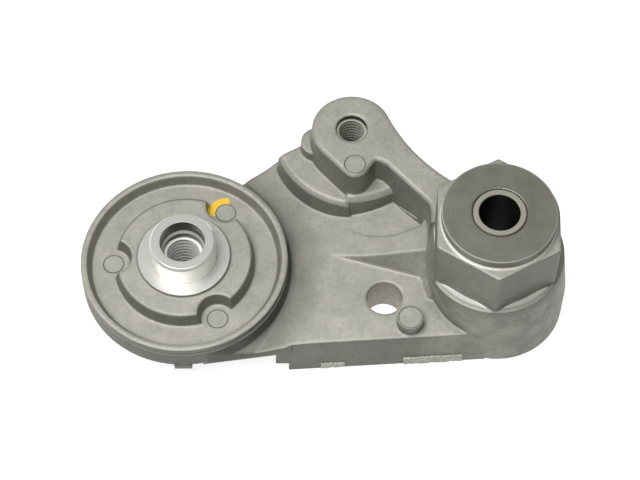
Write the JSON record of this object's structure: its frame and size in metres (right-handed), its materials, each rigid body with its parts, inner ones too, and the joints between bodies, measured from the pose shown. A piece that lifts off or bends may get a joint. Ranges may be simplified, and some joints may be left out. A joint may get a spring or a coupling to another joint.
{
  "type": "belt tensioner",
  "caption": "Cast lever arm of a belt tensioner with an open pulley disc, a threaded strut ear and a hexagon on its pivot boss, swinging on a clamped sleeve.",
  "frame": {"origin": "centre of the pivot sleeve's rear end", "axes": "+Z along the pivot, towards the hexagon; the pulley disc lies towards -X and the strut ear towards +Y"},
  "size_m": [0.1244, 0.0705, 0.0451],
  "materials": {
    "cast_aluminium": "die cast, matte, with machined seat, spigot and boss face",
    "sleeve_steel": "ground",
    "bush_bronze": "plain bearing surface"
  },
  "bodies": {
    "sleeve": {"pivot_sleeve": "sleeve_steel"},
    "arm": {"arm_casting": "cast_aluminium", "front_bush": "bush_bronze", "rear_bush": "bush_bronze"}
  },
  "joints": [
    {"name": "arm_swing", "type": "hinge", "parent": "sleeve", "child": "arm", "pos_m": [0, 0, 0], "axis": [0, 0, 1], "continuous": true}
  ]
}
